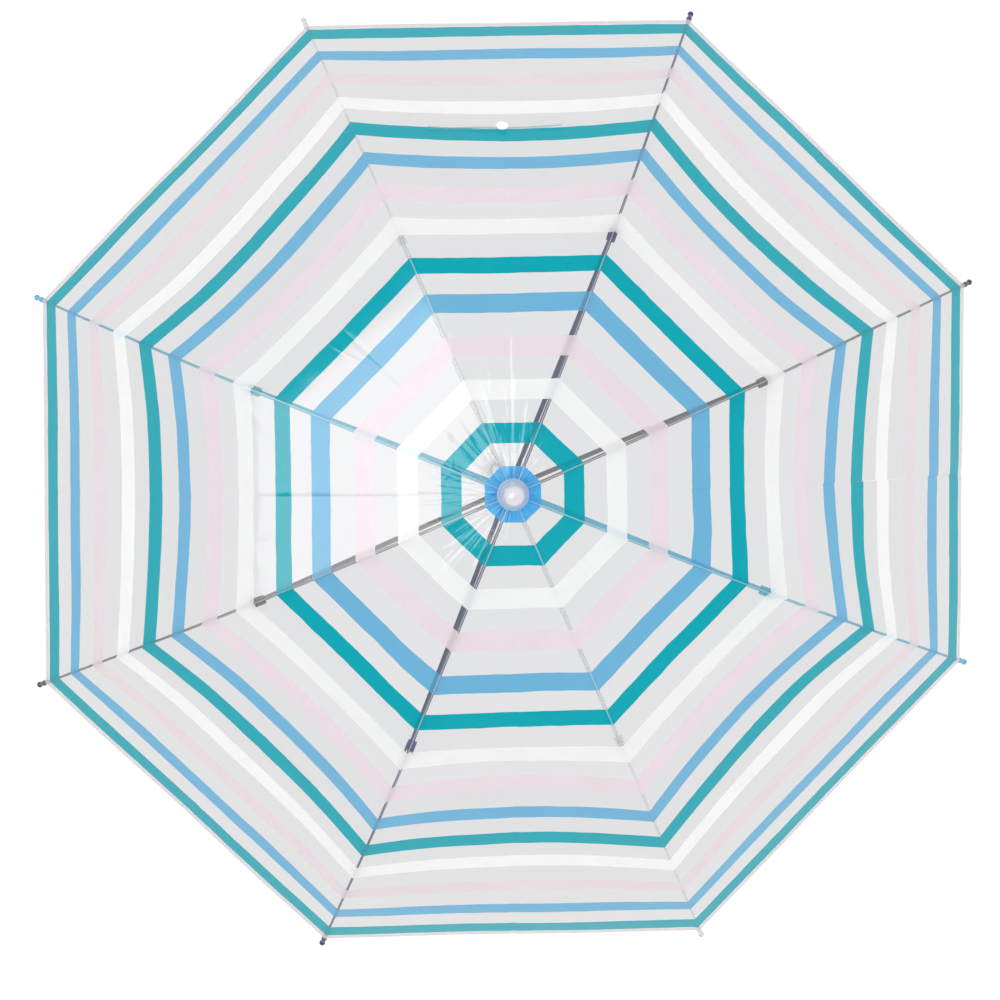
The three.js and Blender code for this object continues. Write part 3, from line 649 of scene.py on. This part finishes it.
for n in range(1, 9):
    c = ARM[n]
    # inner rib: a coated rod whose hub end is pressed into a flat eye
    pts = line(.0113, .2621, .004)
    rs = [0.00150 for p in pts]
    v, f = sweep(pts, lambda i: circle(rs[i], 16))
    rod = obj_from(f"rod_inner_{n}", rotz(v, AZ[n]), f, M_ROD[c]); fix_normals(rod); sharpen(rod, 50)
    # the eye: a separate ring on the rod's body
    ev, ef = lathe_mesh([(.00102, -.0015), (.0016, -.0015), (.00175, -.00135), (.00175, .00135), (.0016, .0015), (.00102, .0015), (.00102, -.0015)], 28,
                        Matrix.Translation((hub[0], 0, hub[1])) @ Matrix.Rotation(D(-90), 4, "X"))
    eye = obj_from(f"eye_{n}", rotz(ev, AZ[n]), ef, M_ROD[c]); fix_normals(eye); sharpen(eye, 40)
    place(eye, f"arm_inner_{n}", slot=f"rib_{c}")
    place(rod, f"arm_inner_{n}", f"rib_inner_{n}", slot=f"rib_{c}")
    # outer rib: thinner, tapering to its tip
    pts = line(.2664, .608, .004)
    k = len(pts)
    v, f = sweep(pts, lambda i: circle(.00130 - .00018 * i / k, 14))
    st_ = np.repeat(np.linspace(.2664, .608, k), 14)
    rod2 = obj_from(f"rod_outer_{n}", leaned(n, rotz(v, AZ[n]), st_), f, M_ROD[c]); fix_normals(rod2); sharpen(rod2, 50)
    place(rod2, f"arm_outer_{n}", f"rib_outer_{n}", slot=f"rib_{c}")
    p1 = film(S_JOINT, RIB_OFF)
    ev, ef = lathe_mesh([(.00102, -.0022), (.0016, -.0022), (.00175, -.002), (.00175, .002), (.0016, .0022), (.00102, .0022), (.00102, -.0022)], 28,
                        Matrix.Translation((float(p1[0]), 0, float(p1[1]))) @ Matrix.Rotation(D(-90), 4, "X"))
    eye2 = obj_from(f"rib_eye_{n}", rotz(ev, AZ[n]), ef, M_ROD[c]); fix_normals(eye2); sharpen(eye2, 40)
    place(eye2, f"arm_outer_{n}", slot=f"rib_{c}")
    # connector and stretcher, from the frame's own shapes with rounded edges
    fork = from_cad(f"connector_{n}", f"fork_{n}", M_FORK[c], 0.00035, 2)
    place(fork, f"arm_inner_{n}", f"connector_{n}", slot=f"rib_{c}")
    st = from_cad(f"stretcher_{n}", f"channel_{n}", M_PRESSED[c], 0.00016, 2)
    place(st, f"stretcher_{n}", f"stretcher_{n}", slot=f"rib_{c}")
    # ball tip
    b = film(.615, RIB_OFF); ang = float(b[2])
    prof = rounded([(.0014, -.018), (.0020, -.0180), (.0022, -.0172), (.0022, -.0128), (.0028, -.0116), (.0028, -.0086), (.0019, -.0066), (.0017, -.0045)], .0005, 3)
    prof += [(.003 * math.sin(t), -.003 * math.cos(t)) for t in np.linspace(D(36), D(180), 22)]
    prof[-1] = (0, .003)
    fr = Matrix.Translation((float(b[0]), 0, float(b[1]))) @ Matrix.Rotation(math.pi / 2 + ang, 4, "Y")
    tv, tf = lathe_mesh([(0.0013, -.0180)] + prof, 28, fr)
    tip = obj_from(f"ball_tip_{n}", leaned(n, rotz(tv, AZ[n]), .608), tf, M_TIP[c]); fix_normals(tip)
    sharpen(tip, 60)
    place(tip, f"arm_outer_{n}", f"tip_{n}", slot=f"tip_{c}")

# ------------------------------------------------------------------ crown, shaft, runner, grip
def turned_piece(name, prof, mat, body, *nodes, seg=72, slot=None, sharp=40):
    v, f = lathe_mesh(prof, seg)
    o = obj_from(name, v, f, mat); fix_normals(o); sharpen(o, sharp)
    return place(o, body, *nodes, slot=slot)


m_ = lambda pts: [(a * MM, b * MM) for a, b in pts]
dome = [(9.4 * math.cos(t) ** .9, 869.5 + 10.5 * math.sin(t)) for t in np.linspace(0, math.pi / 2, 24)]
dome[-1] = (0, 880)
ferr = rounded(m_([(5.35, 863.2), (5.35, 840.0), (12.1, 840.0), (12.4, 840.5), (12.4, 841.5), (12.0, 842.2), (11.2, 842.9), (10.2, 845.5), (9.7, 852), (9.5, 862)]), .0006, 5)
turned_piece("ferrule", [(0, .8632)] + ferr + m_(dome), M_PEARL, "root", "ferrule_cap", seg=96, slot="pearl_plastic")
turned_piece("crown_washer", m_([(5.35, 838.95), (14.2, 838.95), (14.6, 839.1), (14.6, 839.4), (14.0, 839.65), (5.35, 839.7), (5.35, 838.95)]), M_WASHER, "root", "canopy_washer", seg=96, slot="film_clear")
notch = from_cad("top_notch", "crown_notch", M_WHITE, 0.0003, 2); place(notch, "root", "top_notch", slot="white_plastic")
wv = [];
for i in range(96):
    a = 2 * math.pi * i / 96
    for k in range(10):
        b = 2 * math.pi * k / 10
        wv.append(((hub[0] + .0006 * math.cos(b)) * math.cos(a), (hub[0] + .0006 * math.cos(b)) * math.sin(a), hub[1] + .0006 * math.sin(b)))
wf = [(i * 10 + k, ((i + 1) % 96) * 10 + k, ((i + 1) % 96) * 10 + (k + 1) % 10, i * 10 + (k + 1) % 10) for i in range(96) for k in range(10)]
wire = obj_from("ring_wire", wv, wf, M_STEEL); fix_normals(wire); place(wire, "root", "top_notch_wire", slot="spring_wire")
shaft = from_cad("shaft_tube", "shaft_skin", M_SHAFT, 0, 0)
runner = from_cad("runner", "runner_body", M_WHITE, 0.0003, 2); place(runner, "runner", "runner", slot="white_plastic")
place(shaft, "root", "shaft_tube", slot="shaft_steel")
for k in ("upper_catch", "lower_catch"):
    o = from_cad(k, k + "_spring", M_STEEL, 0.0002, 2); place(o, k, k, slot="spring_wire")
grip = rounded(m_([(5.35, 14), (13.2, 14), (13.9, 15.5), (14.4, 22), (13.6, 48), (12.6, 80), (12.2, 105), (12.6, 130), (12.8, 148), (11.4, 160), (8.4, 167.5), (7.0, 170), (5.35, 170), (5.35, 14)]), .006, 8)
turned_piece("grip", grip, M_HANDLE, "root", "handle_grip", seg=96, slot="handle_plastic", sharp=50)
cap = rounded(m_([(0, 0), (10.6, 0), (12.8, 2.2), (13.5, 6), (13.5, 13.4), (13.2, 13.6), (0, 13.6)]), .0012, 5)
turned_piece("grip_end", cap, M_HANDLE, "root", "handle_end_cap", seg=96, slot="handle_plastic", sharp=50)

# ------------------------------------------------------------------ strap and snap, on the +Y gore
def band(name, s_mid, halfw, y0, y1, lift, thick, mat, count):
    vs = []
    prof = [(-halfw, .0), (-halfw, thick), (-halfw * .85, thick * 1.15), (0, thick), (halfw * .85, thick * 1.15), (halfw, thick), (halfw, 0), (0, 0)]
    for y in np.linspace(y0, y1, count):
        for ds, off in prof:
            sv = s_mid + ds
            r = float(film(sv)[0])
            up = lift + 0.0007 * math.sin(y * 95) * (0.4 + abs(y) / .1)
            vs.append(gore_point(2, np.array(sv), np.array(y / (r * HALF)), off + up))
    fs = grid_faces(count, len(prof), wrap=True) + [tuple(range(len(prof))), tuple((count - 1) * len(prof) + k for k in range(len(prof)))]
    o = obj_from(name, vs, fs, mat); fix_normals(o); sharpen(o, 50)
    return o


for n, y0, y1 in ((2, -.070, 0.0), (3, 0.0, .070)):
    strap = place(band(f"strap_{n}", .4165, .0065, y0, y1, .0014, .0003, M_STRAP, 31), f"arm_outer_{n}", *(["closure_strap"] if n == 2 else []), slot="film_clear")
    edge = place(band(f"strap_edge_{n}", .4132, .0006, max(y0, -.056), y1, .0018, .0003, M_STRAPEDGE, 31), f"arm_outer_{n}", slot="film_clear")
    for o in (strap, edge):
        tangential(n)
        rib_point(n, (SPLIT + FILM_END) / 2)
        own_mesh(o)
snap = from_cad("snap_button", "snap", M_SNAP, 0.0002, 2)
mid = sum((v.co for v in snap.data.vertices), Vector()) / len(snap.data.vertices)
new = mid + Vector([float(q) for q in gore_point(2, np.array(.4145), np.array(0.0)) - gore_point(2, np.array(.421), np.array(0.0))])
for v in snap.data.vertices: v.co = new + (v.co - mid) * 1.35
place(snap, "arm_outer_2", "snap_button", slot="white_plastic")
tangential(2)
rib_point(2, (SPLIT + FILM_END) / 2)
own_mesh(snap)

floor_v = [(-14, -14, 0), (14, -14, 0), (14, 14, 0), (-14, 14, 0)]
fm, nt, out = new_mat("floor")
p = node(nt, "ShaderNodeBsdfPrincipled"); p.inputs["Base Color"].default_value = (.20, .20, .20, 1); p.inputs["Roughness"].default_value = .9
p.inputs["Emission Color"].default_value = (1, 1, 1, 1); p.inputs["Emission Strength"].default_value = 0.93
nt.links.new(p.outputs["BSDF"], out.inputs["Surface"])
floor = obj_from("floor", floor_v, [(0, 1, 2, 3)], fm, False)

# ------------------------------------------------------------------ light
w = bpy.data.worlds.new("world"); SC.world = w; w.use_nodes = True
wn = w.node_tree; bg = wn.nodes["Background"]
wt = node(wn, "ShaderNodeTexCoord"); ws = node(wn, "ShaderNodeSeparateXYZ"); wn.links.new(wt.outputs["Generated"], ws.inputs[0])
wr = node(wn, "ShaderNodeValToRGB")
wr.color_ramp.elements[0].position = 0.0; wr.color_ramp.elements[0].color = (1, 1, 1, 1)
wr.color_ramp.elements[1].position = 0.62; wr.color_ramp.elements[1].color = (.10, .10, .10, 1)
wn.links.new(ws.outputs["Z"], wr.inputs["Fac"]); wn.links.new(wr.outputs["Color"], bg.inputs["Color"]); bg.inputs["Strength"].default_value = 1.0


def softbox(name, loc, target, size, power, turn=0):
    l = bpy.data.lights.new(name, "AREA"); l.shape = "RECTANGLE"; l.size, l.size_y = size; l.energy = power
    o = bpy.data.objects.new(name, l); SC.collection.objects.link(o)
    o.location = loc
    q = (Vector(target) - Vector(loc)).to_track_quat("-Z", "Y")
    o.rotation_euler = (q.to_matrix() @ Matrix.Rotation(D(turn), 3, "Z")).to_euler()
    return o


side = softbox("side_softbox", (-1.8, .54, 2.82), (-1.8, .54, 0), (3.2, 1.92), 9)
glow = softbox("side_softbox_sheen", (-1.8, .54, 2.7), (-1.8, .54, 0), (3.2, 1.94), 82)
glow.visible_diffuse = False
top = softbox("overhead", (0.2, 0, 4.6), (0, 0, .7), (6, 6), 208)
top.visible_glossy = False
